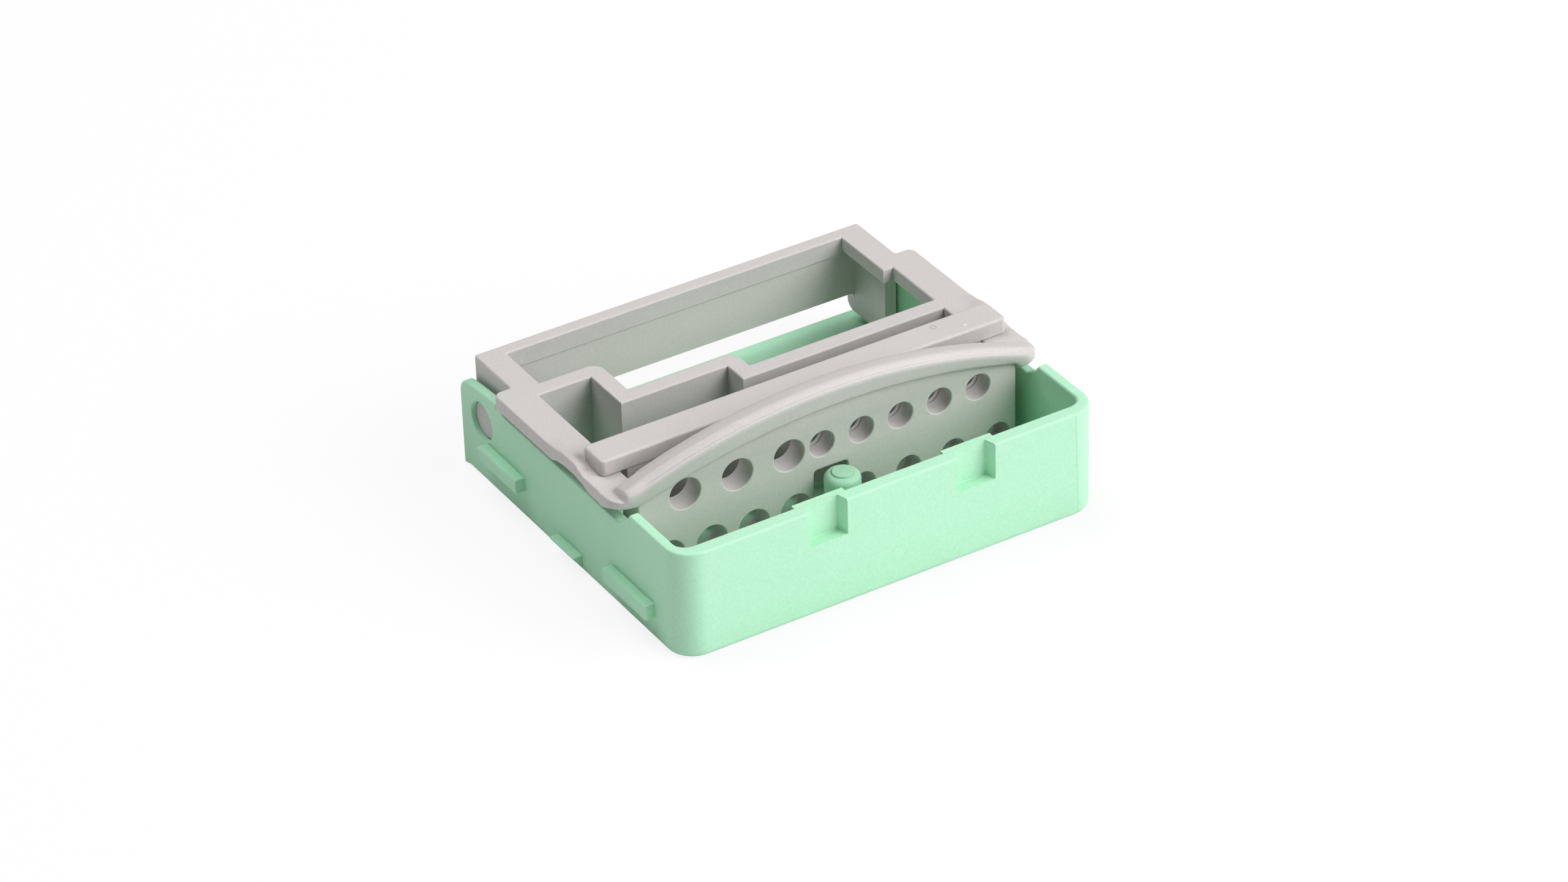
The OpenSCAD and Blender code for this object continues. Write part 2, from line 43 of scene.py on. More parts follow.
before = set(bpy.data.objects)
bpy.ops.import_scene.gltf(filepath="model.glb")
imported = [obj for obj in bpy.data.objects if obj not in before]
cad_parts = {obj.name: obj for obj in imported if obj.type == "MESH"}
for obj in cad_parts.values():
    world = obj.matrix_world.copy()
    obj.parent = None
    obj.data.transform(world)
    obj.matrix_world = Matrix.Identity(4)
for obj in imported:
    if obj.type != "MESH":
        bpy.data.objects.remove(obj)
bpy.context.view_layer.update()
MM = 0.001
WHITE = (1.0, 1.0, 1.0, 1.0)


# Nodes

class Wire:
    """A socket on which Python's own operators add Math nodes."""

    def __init__(self, tree, socket):
        self.tree = tree
        self.socket = socket

    def _math(self, operation, first, second=0.0):
        node = self.tree.nodes.new("ShaderNodeMath")
        node.operation = operation
        for slot, value in zip(node.inputs, (first, second)):
            if isinstance(value, Wire):
                self.tree.links.new(value.socket, slot)
            else:
                slot.default_value = value
        return Wire(self.tree, node.outputs[0])

    def __add__(self, other):
        return self._math("ADD", self, other)

    def __radd__(self, other):
        return self._math("ADD", other, self)

    def __sub__(self, other):
        return self._math("SUBTRACT", self, other)

    def __rsub__(self, other):
        return self._math("SUBTRACT", other, self)

    def __mul__(self, other):
        return self._math("MULTIPLY", self, other)

    def __rmul__(self, other):
        return self._math("MULTIPLY", other, self)

    def __abs__(self):
        return self._math("ABSOLUTE", self)


class Tree:
    """A node tree with one method that adds any node."""

    def __init__(self, tree):
        self.tree = tree

    def node(self, kind, settings=None, output=0, **sockets):
        """Adds a node, sets it up first, then fills its sockets, by name or by _ and a number.

        A list of wires goes to a socket that takes several."""
        made = self.tree.nodes.new(kind)
        for key, value in (settings or {}).items():
            setattr(made, key, value)
        for key, value in sockets.items():
            slot = made.inputs[int(key[1:]) if key[1:].isdigit() else key.replace("_", " ")]
            for one in value if isinstance(value, list) else [value]:
                if isinstance(one, Wire):
                    self.tree.links.new(one.socket, slot)
                else:
                    slot.default_value = one
        return Wire(self.tree, made.outputs[output]) if len(made.outputs) else None


def shading(owner):
    """The emptied node tree of a material or a world."""
    owner.use_nodes = True
    owner.node_tree.nodes.clear()
    return Tree(owner.node_tree)


# Materials

CLOUDS = {"Detail": 3.0, "Roughness": 0.55}
SPECKS = {"Detail": 4.0, "Roughness": 0.7}
GRAINS = {"Detail": 3.0, "Roughness": 0.6}
DARKER, LIGHTER = 0.8, 1.2
SHEEN_SPREAD = 0.18
RELIEF = 0.04 * MM
MARK_RELIEF = 4.0
PLASTIC_IOR = 1.47


def fading(s, gap, core, width):
    """Mask that is 1 within a share of a mark's width and fades to 0 at its edge."""
    return s.node("ShaderNodeMapRange", {"interpolation_type": "SMOOTHSTEP"},
                  _0=gap, _1=core * width * MM, _2=width * MM, _3=1.0, _4=0.0)


def line_mark(s, place, start, end, width):
    """Mask of a fine line on the surface between two points, in millimetres."""
    a, b = Vector(start) * MM, Vector(end) * MM
    axis = b - a
    away = s.node("ShaderNodeVectorMath", {"operation": "SUBTRACT"}, _0=place, _1=a)
    along = s.node("ShaderNodeVectorMath", {"operation": "DOT_PRODUCT"}, output=1,
                   _0=away, _1=axis / axis.length_squared)
    share = s.node("ShaderNodeClamp", _0=along)
    foot = s.node("ShaderNodeVectorMath", {"operation": "SCALE"}, _0=axis, _3=share)
    gap = s.node("ShaderNodeVectorMath", {"operation": "DISTANCE"}, output=1, _0=away, _1=foot)
    return fading(s, gap, 0.35, width)


def ring_mark(s, place, centre, radius, width):
    """Mask of a fine ring round a point, in millimetres."""
    gap = s.node("ShaderNodeVectorMath", {"operation": "DISTANCE"}, output=1,
                 _0=place, _1=Vector(centre) * MM)
    return fading(s, abs(gap - radius * MM), 0.2, width)


def moulded_plastic(name, colour, finish, marks=()):
    """Satin moulded plastic: faint clouding, fine speckle, a dry skin and its moulding marks.

    A mark is its mask, its strength and its shape; a negative strength makes it light and raised."""
    material = bpy.data.materials.new(name)
    s = shading(material)
    place = s.node("ShaderNodeTexCoord", output=3)
    cloud = s.node("ShaderNodeTexNoise", Vector=place, Scale=finish.cloud_scale, **CLOUDS)
    speckle = s.node("ShaderNodeTexNoise", Vector=place, Scale=finish.speckle_scale, **SPECKS)
    skin = s.node("ShaderNodeTexNoise", Vector=place, Scale=finish.skin_scale, **GRAINS)
    tone = (cloud - 0.5) * finish.cloud_strength + (speckle - 0.5) * finish.speckle_strength + 0.5
    height = skin * 0.5
    for mark, strength, *shape in marks:
        mask = mark(s, place, *shape)
        tone = tone - mask * strength
        height = height - mask * (strength * MARK_RELIEF)
    dark = tuple(c * DARKER for c in colour) + (1.0,)
    light = tuple(min(1.0, c * LIGHTER) for c in colour) + (1.0,)
    base = s.node("ShaderNodeMix", {"data_type": "RGBA"}, output=2, _0=tone, _6=dark, _7=light)
    rough = (skin - 0.5) * SHEEN_SPREAD + finish.roughness
    bump = s.node("ShaderNodeBump", Strength=finish.skin_strength, Distance=RELIEF, Height=height)
    plastic = s.node("ShaderNodeBsdfPrincipled", Base_Color=base, Roughness=rough, Normal=bump,
                     IOR=PLASTIC_IOR)
    s.node("ShaderNodeOutputMaterial", _0=plastic)
    return material


def pale_floor():
    """A pale matt floor that the camera sees almost as white, with the object's shadow."""
    material = bpy.data.materials.new("pale_floor")
    s = shading(material)
    seen = s.node("ShaderNodeLightPath") * 0.85
    matt = s.node("ShaderNodeBsdfDiffuse", Color=(0.9, 0.9, 0.9, 1.0))
    glow = s.node("ShaderNodeEmission", Color=WHITE)
    s.node("ShaderNodeOutputMaterial", _0=s.node("ShaderNodeMixShader", _0=seen, _1=matt, _2=glow))
    return material


def studio_world(strength):
    """Even light from all round, before a white background."""
    world = bpy.data.worlds.new("studio")
    s = shading(world)
    seen = s.node("ShaderNodeLightPath")
    fill = s.node("ShaderNodeBackground", Color=WHITE, Strength=strength)
    white = s.node("ShaderNodeBackground", Color=WHITE, Strength=1.0)
    s.node("ShaderNodeOutputWorld", _0=s.node("ShaderNodeMixShader", _0=seen, _1=fill, _2=white))
    return world


# Outlines and mouldings, in millimetres

SHARP_ANGLE = math.radians(40)


def smooth(low, high, value):
    """0 below low, 1 above high and a soft step between."""
    share = max(0.0, min(1.0, (value - low) / (high - low)))
    return share * share * (3 - 2 * share)


def curve_value(points, x):
    """Height at x on a soft curve through rising points."""
    if x <= points[0][0]:
        return points[0][1]
    for (x0, y0), (x1, y1) in zip(points, points[1:]):
        if x <= x1:
            return y0 + (y1 - y0) * smooth(x0, x1, x)
    return points[-1][1]


def outline(corners, steps=6):
    """Closed outline whose corners (u, v, radius) are rounded; a corner without a radius stays sharp."""
    points = []
    count = len(corners)
    for i, corner in enumerate(corners):
        here = Vector(corner[:2])
        if len(corner) < 3 or not corner[2]:
            points.append(here)
            continue
        back = (Vector(corners[i - 1][:2]) - here).normalized()
        on = (Vector(corners[(i + 1) % count][:2]) - here).normalized()
        half = back.angle(on) / 2
        centre = here + (back + on).normalized() * (corner[2] / math.sin(half))
        start = here + back * (corner[2] / math.tan(half)) - centre
        end = here + on * (corner[2] / math.tan(half)) - centre
        turn = math.atan2(start.x * end.y - start.y * end.x, start.dot(end))
        for k in range(steps + 1):
            spin = Matrix.Rotation(turn * k / steps, 2)
            points.append(centre + spin @ start)
    return points


def ring(u, v, radius, count=48):
    """Points round a circle."""
    return [Vector((u + radius * math.cos(2 * math.pi * k / count),
                    v + radius * math.sin(2 * math.pi * k / count))) for k in range(count)]


def turned(points, leftwise):
    """The points, reversed if they don't run the asked way round."""
    area = sum(a.x * b.y - b.x * a.y for a, b in zip(points, points[1:] + points[:1]))
    return points if (area > 0) == leftwise else points[::-1]


def inward(points):
    """For each point, the step that moves both of its edges inwards by one."""
    steps = []
    for i, here in enumerate(points):
        before = (here - points[i - 1]).normalized()
        after = (points[(i + 1) % len(points)] - here).normalized()
        n1, n2 = Vector((-before.y, before.x)), Vector((-after.y, after.x))
        steps.append((n1 + n2) / max(0.3, 1 + n1.dot(n2)))
    return steps


def plate(rim, low, high, low_r, high_r, holes=(), steps=4):
    """A plate between two levels with an outline, holes and rounded rims, as a closed shell.

    A rim radius is a number or a function of the outline's point."""
    bm = bmesh.new()
    loops = [turned(list(rim), True)] + [turned(list(h), False) for h in holes]
    moves = [inward(loop) for loop in loops]

    def level(height, side, radius, quarter):
        """Points of every outline at one step of a rim's rounding, in the plate and flat."""
        made, flat = [], []
        for loop, move in zip(loops, moves):
            row, spots = [], []
            for p, m in zip(loop, move):
                r = radius(p) if callable(radius) else radius
                spot = p + m * (r * (1 - math.sin(quarter)))
                spots.append(Vector((spot.x, spot.y, 0)))
                row.append(bm.verts.new((spot.x, spot.y, height + side * r * (1 - math.cos(quarter)))))
            made.append(row)
            flat.append(spots)
        return made, flat

    turns = [math.pi / 2 * k / steps for k in range(steps + 1)]
    levels = [level(low, 1, low_r, t) for t in turns]
    levels += [level(high, -1, high_r, t) for t in reversed(turns)]
    for (below, _), (above, _) in zip(levels, levels[1:]):
        for row, over in zip(below, above):
            for i in range(len(row)):
                j = (i + 1) % len(row)
                bm.faces.new((row[i], row[j], over[j], over[i]))
    for made, flat in (levels[0], levels[-1]):
        every = [v for row in made for v in row]
        for tri in tessellate_polygon(flat):
            corners = [every[k] for k in tri]
            if len(set(corners)) == 3:
                bm.faces.new(corners)
    return closed(bm)


def closed(bm, gap=0.0005):
    """Merges a shell's doubles, drops its slivers and turns its faces outwards."""
    bmesh.ops.remove_doubles(bm, verts=bm.verts, dist=gap)
    bmesh.ops.dissolve_degenerate(bm, dist=gap, edges=bm.edges)
    return outward(bm)


def outward(bm):
    """Turns a closed shell's faces outwards."""
    bmesh.ops.recalc_face_normals(bm, faces=bm.faces)
    if bm.calc_volume(signed=True) < 0:
        bmesh.ops.reverse_faces(bm, faces=bm.faces)
    return bm


def placed(bm, place):
    """Moves every point of a shell by a function and turns its faces outwards again."""
    for v in bm.verts:
        v.co = place(*v.co)
    return outward(bm)


def sliced(bm, axis, places):
    """Cuts a shell's faces along planes across an axis, so that it can be bent."""
    normal = Vector([1.0 if k == axis else 0.0 for k in range(3)])
    for place in places:
        bmesh.ops.bisect_plane(bm, geom=bm.verts[:] + bm.edges[:] + bm.faces[:], dist=1e-5,
                               plane_co=normal * place, plane_no=normal)
    return closed(bm)


def side_on(u, v, w):
    """Outline drawn in Y and Z, thickness along X."""
    return w, u, v


def front_on(u, v, w):
    """Outline drawn in X and Z, thickness along Y."""
    return u, w, v


def as_drawn(x, y, z):
    return x, y, z


def mirrored(x, y, z):
    return -x, y, z


SIDES = (as_drawn, mirrored)


def lathe(profile, count=64):
    """A turned solid about Z from (radius, height) points; it closes where the radius is zero."""
    bm = bmesh.new()
    rows = []
    for radius, height in profile:
        if radius < 1e-6:
            rows.append([bm.verts.new((0, 0, height))])
        else:
            rows.append([bm.verts.new((p.x, p.y, height)) for p in ring(0, 0, radius, count)])
    for below, above in zip(rows, rows[1:]):
        for i in range(count):
            j = (i + 1) % count
            if len(below) == 1:
                bm.faces.new((below[0], above[i], above[j]))
            elif len(above) == 1:
                bm.faces.new((below[i], below[j], above[0]))
            else:
                bm.faces.new((below[i], below[j], above[j], above[i]))
    return closed(bm)


def loft(rows):
    """A solid through rows of points that correspond, closed by a flat face at each end."""
    bm = bmesh.new()
    made = [[bm.verts.new(p) for p in row] for row in rows]
    for below, above in zip(made, made[1:]):
        for i in range(len(below)):
            j = (i + 1) % len(below)
            bm.faces.new((below[i], below[j], above[j], above[i]))
    bm.faces.new(made[0])
    bm.faces.new(list(reversed(made[-1])))
    return closed(bm)


def as_mesh(bm, name="part"):
    """A mesh of a bmesh, which is freed."""
    mesh = bpy.data.meshes.new(name)
    bm.to_mesh(mesh)
    bm.free()
    return mesh


def stand_in(data):
    """A new object in the scene for a mesh, a lamp or a camera."""
    obj = bpy.data.objects.new(data.name, data)
    bpy.context.scene.collection.objects.link(obj)
    return obj


def evaluated(obj):
    """A plain mesh of an object with its modifiers."""
    graph = bpy.context.evaluated_depsgraph_get()
    return bpy.data.meshes.new_from_object(
        obj.evaluated_get(graph), preserve_all_data_layers=True, depsgraph=graph)


def carved(mesh, cutters):
    """The mesh less its cutters."""
    body = stand_in(mesh)
    tools = [stand_in(cutter) for cutter in cutters]
    for tool in tools:
        cut = body.modifiers.new("cut", "BOOLEAN")
        cut.operation = "DIFFERENCE"
        cut.solver = "EXACT"
        cut.object = tool
    result = evaluated(body)
    for obj in [body] + tools:
        bpy.data.objects.remove(obj)
    return cleaned(result)


def cleaned(mesh):
    """A cut mesh without the slivers that cuts leave."""
    bm = bmesh.new()
    bm.from_mesh(mesh)
    closed(bm, gap=0.002)
    twins = {}
    for face in bm.faces:
        twins.setdefault(frozenset(face.verts), []).append(face)
    flat = [face for pair in twins.values() if len(pair) > 1 for face in pair]
    bmesh.ops.delete(bm, geom=flat, context="FACES")
    return as_mesh(bm)


def moulding(name, meshes, body, node, material):
    """Joins the shells of one moulded piece, gives it clean normals and hands it to the frame."""
    bm = bmesh.new()
    for mesh in meshes:
        bm.from_mesh(mesh)
    bmesh.ops.scale(bm, vec=(MM, MM, MM), verts=bm.verts)
    for face in bm.faces:
        face.smooth = True
        face.material_index = 0
    mesh = as_mesh(bm, name)
    mesh.validate()
    mesh.materials.clear()
    mesh.materials.append(material)
    mesh.set_sharp_from_angle(angle=SHARP_ANGLE)
    obj = stand_in(mesh)
    weigh = obj.modifiers.new("normals", "WEIGHTED_NORMAL")
    weigh.keep_sharp = True
    weigh.weight = 50
    dressed = evaluated(obj)
    if not dressed.polygons:
        raise RuntimeError(name + " has no faces")
    dressed.name = name
    obj.modifiers.clear()
    obj.data = dressed
    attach(obj, body)
    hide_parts(node)
    return obj


# Geometry Nodes

class Recipe(Tree):
    """A Geometry Nodes tree with named inputs."""

    KINDS = {"size": "NodeSocketFloat", "count": "NodeSocketInt", "object": "NodeSocketObject",
             "material": "NodeSocketMaterial", "mesh": "NodeSocketGeometry"}

    def __init__(self, name, inputs):
        super().__init__(bpy.data.node_groups.new(name, "GeometryNodeTree"))
        self.idents = {}
        for label, kind in inputs + [("Material", "material")]:
            item = self.tree.interface.new_socket(label, in_out="INPUT", socket_type=self.KINDS[kind])
            self.idents[label] = item.identifier
        self.tree.interface.new_socket("Mesh", in_out="OUTPUT", socket_type="NodeSocketGeometry")
        self.given = self.tree.nodes.new("NodeGroupInput")

    def wire(self, label):
        return Wire(self.tree, self.given.outputs[label])

    def finish(self, geometry):
        plain = self.node("GeometryNodeRealizeInstances", _0=geometry)
        dressed = self.node("GeometryNodeSetMaterial", _0=plain, Material=self.wire("Material"))
        self.node("NodeGroupOutput", _0=dressed)

    def run(self, mesh, values):
        """The mesh that the tree makes of another mesh with these values."""
        obj = stand_in(mesh)
        step = obj.modifiers.new("recipe", "NODES")
        step.node_group = self.tree
        for label, value in values.items():
            step[self.idents[label]] = value
        result = evaluated(obj)
        bpy.data.objects.remove(obj)
        return result


def hole_rows():
    """Cuts the rows of holes through a plate.

    Each row has its own cutter, number of holes, first place, pitch and height."""
    inputs = [("Plate", "mesh")]
    for row in HOLES:
        inputs += [(row + " cutter", "object"), (row + " number", "count"), (row + " first", "size"),
                   (row + " pitch", "size"), (row + " height", "size")]
    recipe = Recipe("hole_rows", inputs)
    cutters = []
    for row in HOLES:
        start = recipe.node("ShaderNodeCombineXYZ", X=recipe.wire(row + " first"),
                            Z=recipe.wire(row + " height"))
        step = recipe.node("ShaderNodeCombineXYZ", X=recipe.wire(row + " pitch"))
        line = recipe.node("GeometryNodeMeshLine", Count=recipe.wire(row + " number"),
                           Start_Location=start, Offset=step)
        tool = recipe.node("GeometryNodeObjectInfo", output=4, Object=recipe.wire(row + " cutter"))
        cutters.append(recipe.node("GeometryNodeInstanceOnPoints", Points=line, Instance=tool))
    joined = recipe.node("GeometryNodeJoinGeometry", _0=cutters)
    solid = recipe.node("GeometryNodeRealizeInstances", _0=joined)
    cut = recipe.node("GeometryNodeMeshBoolean", {"operation": "DIFFERENCE", "solver": "EXACT"},
                      _0=recipe.wire("Plate"), _1=solid)
    recipe.finish(cut)
    return recipe


def perforated(plate_mesh, cutters, material, shift=0.0):
    """A plate with its rows of holes cut; cutters gives each row's tool, shift moves the rows along X."""
    values = {"Material": material}
    tools = [stand_in(as_mesh(cutters[row])) for row in HOLES]
    for (row, (number, first, pitch, height)), tool in zip(HOLES.items(), tools):
        values.update({row + " cutter": tool, row + " number": number, row + " first": first + shift,
                       row + " pitch": pitch, row + " height": height})
    result = cleaned(hole_rows().run(plate_mesh, values))
    for tool in tools:
        bpy.data.objects.remove(tool)
    return result


def side_rails():
    """Sweeps the rails along both side walls, each from its own front end, length and height."""
    inputs = [("Base", "mesh")]
    for rail in RAILS:
        inputs += [(rail + " place", "size"), (rail + " length", "size"), (rail + " height", "size")]
    recipe = Recipe("side_rails", inputs + [
        ("Wall", "size"), ("Depth", "size"), ("Thickness", "size"), ("Edge", "size")])
    section = recipe.node("GeometryNodeCurvePrimitiveQuadrilateral",
                          Width=recipe.wire("Depth"), Height=recipe.wire("Thickness"))
    soft = recipe.node("GeometryNodeFilletCurve", {"mode": "POLY"}, Curve=section, Count=4,
                       Radius=recipe.wire("Edge"), Limit_Radius=True)
    lines = []
    for rail in RAILS:
        place, height = recipe.wire(rail + " place"), recipe.wire(rail + " height")
        ends = [recipe.node("ShaderNodeCombineXYZ", X=recipe.wire("Wall"), Y=y, Z=height)
                for y in (place, place + recipe.wire(rail + " length"))]
        lines.append(recipe.node("GeometryNodeCurvePrimitiveLine", Start=ends[0], End=ends[1]))
    paths = recipe.node("GeometryNodeJoinGeometry", _0=lines)
    rails = recipe.node("GeometryNodeCurveToMesh", Curve=paths, Profile_Curve=soft, Fill_Caps=True)
    other = recipe.node("GeometryNodeTransform", Geometry=rails, Scale=(-1.0, 1.0, 1.0))
    flipped = recipe.node("GeometryNodeFlipFaces", _0=other)
    recipe.finish(recipe.node("GeometryNodeJoinGeometry", _0=[rails, flipped]))
    return recipe


# Settings

LENGTH = {"subtype": "DISTANCE", "unit": "LENGTH", "precision": 5}


class TraySettings(bpy.types.PropertyGroup):
    """Sizes of the tray."""
    width: bpy.props.FloatProperty(
        name="Width", description="Width over the side walls", default=0.056, **LENGTH)
    depth: bpy.props.FloatProperty(
        name="Depth", description="Depth, front to back", default=0.0495, **LENGTH)
    front_height: bpy.props.FloatProperty(
        name="Front height", description="Height of the front wall", default=0.014, **LENGTH)
    side_height: bpy.props.FloatProperty(
        name="Side height", description="Height of the low stretch of the side walls", default=0.0119,
        **LENGTH)
    wall: bpy.props.FloatProperty(
        name="Wall", description="Thickness of the side walls", default=0.00135, **LENGTH)
    front_wall: bpy.props.FloatProperty(
        name="Front wall", description="Thickness of the front wall", default=0.0019, **LENGTH)
    corner: bpy.props.FloatProperty(
        name="Corner", description="Radius of the front corners", default=0.0034, **LENGTH)
    edge: bpy.props.FloatProperty(
        name="Edge", description="Radius of the edges of the walls", default=0.00032, **LENGTH)
    rail_out: bpy.props.FloatProperty(
        name="Rail depth", description="Projection of the side rails", default=0.0013, **LENGTH)


class BlockSettings(bpy.types.PropertyGroup):
    """Sizes of the bur block."""
    large_hole: bpy.props.FloatProperty(
        name="Large hole", description="Diameter of the large holes", default=0.004, **LENGTH)
    small_hole: bpy.props.FloatProperty(
        name="Small hole", description="Diameter of the small holes", default=0.0033, **LENGTH)
    mouth: bpy.props.FloatProperty(
        name="Mouth", description="Radius of the rounded mouth of each hole", default=0.00018, **LENGTH)
    arch: bpy.props.FloatProperty(
        name="Lip rise", description="Rise of the finger lip over the frame", default=0.0056, **LENGTH)


class BarSettings(bpy.types.PropertyGroup):
    """Sizes of the lock bar."""
    edge: bpy.props.FloatProperty(
        name="Edge", description="Radius of the bar's upper edges", default=0.00034, **LENGTH)
    grip_step: bpy.props.FloatProperty(
        name="Grip step", description="Set-back of the bar between its grips", default=0.00008, **LENGTH)


class FinishSettings(bpy.types.PropertyGroup):
    """Colours and skin of the moulded plastics."""
    tray_colour: bpy.props.FloatVectorProperty(
        name="Tray colour", description="Colour of the green plastic",
        subtype="COLOR", default=(0.465, 0.82, 0.58), min=0, max=1)
    block_colour: bpy.props.FloatVectorProperty(
        name="Block colour", description="Colour of the grey plastic",
        subtype="COLOR", default=(0.60, 0.572, 0.556), min=0, max=1)
    roughness: bpy.props.FloatProperty(
        name="Roughness", description="Dullness of the plastics' skin", default=0.5, min=0, max=1,
        subtype="FACTOR")
    cloud_scale: bpy.props.FloatProperty(
        name="Cloud scale", description="Clouds to the metre", default=120)
    cloud_strength: bpy.props.FloatProperty(
        name="Cloud strength", description="Strength of the faint clouding", default=0.15, subtype="FACTOR")
    speckle_scale: bpy.props.FloatProperty(
        name="Speckle scale", description="Specks to the metre", default=3500)
    speckle_strength: bpy.props.FloatProperty(
        name="Speckle strength", description="Strength of the fine speckle", default=0.7, subtype="FACTOR")
    skin_scale: bpy.props.FloatProperty(
        name="Skin scale", description="Grains of the skin to the metre", default=2500)
    skin_strength: bpy.props.FloatProperty(
        name="Skin strength", description="Strength of the skin's bumps", default=0.3, subtype="FACTOR")


class StageSettings(bpy.types.PropertyGroup):
    """Camera and light."""
    lens: bpy.props.FloatProperty(
        name="Lens", description="Focal length of the camera on a 36 mm sensor", default=125.3,
        subtype="DISTANCE_CAMERA", unit="CAMERA")
    fill: bpy.props.FloatProperty(
        name="Fill", description="Strength of the even light from all round", default=0.03, subtype="FACTOR")
    key_power: bpy.props.FloatProperty(
        name="Key lamp", description="Power of the lamp before the object", default=12.8,
        subtype="POWER", unit="POWER")
    top_power: bpy.props.FloatProperty(
        name="Top lamp", description="Power of the lamp above the object", default=10.5,
        subtype="POWER", unit="POWER")


def in_mm(settings):
    """The lengths of a group of settings in millimetres."""
    return SimpleNamespace(**{prop.identifier: round(getattr(settings, prop.identifier) / MM, 4)
                              for prop in settings.bl_rna.properties if prop.type == "FLOAT"})


# Tray

FLOOR, HEEL = 2.0, 0.8
HINGE_Y, HINGE_Z, HINGE_R = 19.75, 8.25, 2.45
EAR_Y, EAR_TOP, EAR_END = 16.0, 12.6, 11.75
FALL_Y, WRAP_Y = -11.5, -14.0
POCKETS, POCKET_FLOOR = (-8.7, 11.05), 9.35
POST_Y, POST_R, POST_TOP = -13.9, 2.15, 9.3
RAILS = {"Rear": (9.95, 8.95, 4.85), "Front": (-19.0, 9.5, 4.05)}
RAIL_THICK, RAIL_SUNK = 1.9, 0.8


def tray_wall(size):
    """The wall that runs from ear to ear round the front, drawn flat and bent round the corners."""
    half_w, half_d = size.width / 2, size.depth / 2
    quarter = math.pi / 2 * size.corner
    front = half_w - size.corner
    bend_y = -half_d + size.corner

    def run(y):
        """Distance along the flat wall from its middle to a place on a side wall."""
        return front + quarter + y - bend_y

    ear = [(run(half_d), EAR_END, 1.9), (run(EAR_Y), EAR_TOP, 0.25), (run(EAR_Y), size.side_height, 0.2)]
    drop, steps = size.front_height - size.side_height, 8
    fall = [(run(FALL_Y + (WRAP_Y - FALL_Y) * k / steps), size.front_height - drop * (1 - (k / steps) ** 1.5))
            for k in range(steps)]
    top = ear + fall + [(run(WRAP_Y), size.front_height, 0.12)]
    right = [(run(half_d), HEEL - size.edge)] + top
    left = [(-p[0],) + tuple(p[1:]) for p in reversed(right)]
    holes = [ring(s * run(HINGE_Y), HINGE_Z, HINGE_R, 64) for s in (-1, 1)]

    def edge(p):
        """Radius of the wall's edges, small round the hinge holes."""
        return 0.12 if math.hypot(abs(p.x) - run(HINGE_Y), p.y - HINGE_Z) < HINGE_R + 0.05 else size.edge

    bm = plate(outline(right + left, 8), 0.0, size.wall, edge, edge, holes)
    bends = [front + quarter * k / 14 for k in range(15)]
    sliced(bm, 0, [s * b for b in bends for s in (-1, 1)])

    def bend(s, z, w):
        side, s = (-1 if s < 0 else 1), abs(s)
        share = max(0.0, min(1.0, (s - front) / quarter))
        if w > size.wall / 2:
            w += (size.front_wall - size.wall) * (1 - smooth(0, 1, share))
        if s < front:
            return side * s, -half_d + w, z
        if share < 1:
            turn = math.pi / 2 * share
            r = size.corner - w
            return side * (front + r * math.sin(turn)), bend_y - r * math.cos(turn), z
        return side * (half_w - w), bend_y + s - front - quarter, z

    return placed(bm, bend)


def pocket_cutter(x, front):
    """A pocket in the front wall, open above and narrower inside."""
    mouth, inner, back = 2.55, 2.1, front + 1.5
    shape = [(x - mouth, front - 1), (x + mouth, front - 1), (x + mouth, front),
             (x + inner, back, 0.15), (x - inner, back, 0.15), (x - mouth, front)]
    return plate(outline(shape), POCKET_FLOOR, 16.0, 0.15, 0.0)


def pocket_pad(x, front):
    """The patch behind a pocket, inside the front wall."""
    half, low, high = 3.3, 8.6, 13.95
    shape = outline([(x - half, low, 0.3), (x + half, low, 0.3), (x + half, high), (x - half, high)])
    return placed(plate(shape, front + 1.55, front + 2.55, 0.0, 0.2), front_on)


def tray_floor(size):
    """The floor: a lower plate with a rounded heel and an upper one between the walls."""
    half_w, half_d = size.width / 2, size.depth / 2
    front, rear, apart = size.corner, size.edge, 1.2
    rim = [(-half_w, -half_d, front), (half_w, -half_d, front),
           (half_w, half_d - apart), (half_w, half_d, rear), (half_w - apart, half_d),
           (apart - half_w, half_d), (-half_w, half_d, rear), (-half_w, half_d - apart)]

    def heel(p):
        """The heel's radius, smaller at the two rear corners."""
        return rear if abs(p.x) > half_w - 0.5 and p.y > half_d - 0.5 else HEEL

    lower = plate(outline(rim, 14), 0.0, HEEL, heel, 0.0, steps=6)
    inner, start = half_w - size.wall, 1.2 - half_d
    upper = plate(outline([(-inner, start), (inner, start), (inner, half_d), (-inner, half_d)]),
                  HEEL, FLOOR, 0.0, 0.0, steps=1)
    return [lower, upper]


def tray_post():
    """The post on the floor with a rounded edge and a thin disc on top, set off by a groove."""
    edge, disc, groove, rise = 0.75, 1.3, 0.06, 0.2
    turns = [math.pi / 2 * k / 6 for k in range(7)]
    profile = [(0, 1.0), (POST_R, 1.0), (POST_R, POST_TOP - edge)]
    profile += [(POST_R - edge + edge * math.cos(t), POST_TOP - edge + edge * math.sin(t)) for t in turns]
    profile += [(disc + 0.02, POST_TOP), (disc, POST_TOP - groove), (disc - groove, POST_TOP - groove),
                (disc - groove, POST_TOP + rise - groove), (disc - 2 * groove, POST_TOP + rise),
                (0, POST_TOP + rise)]
    return placed(lathe(profile), lambda x, y, z: (x, y + POST_Y, z))


def side_catch(size):
    """The middle catch on a side wall, level on top and sloping below."""
    wall, inside, high = size.width / 2, size.width / 2 - RAIL_SUNK, 2.3
    shape = outline([(inside, 0.75), (wall, 0.55), (wall + size.rail_out, high, 0.15), (inside, high)])
    return placed(plate(shape, -2.8, 2.7, 0.15, 0.15), front_on)


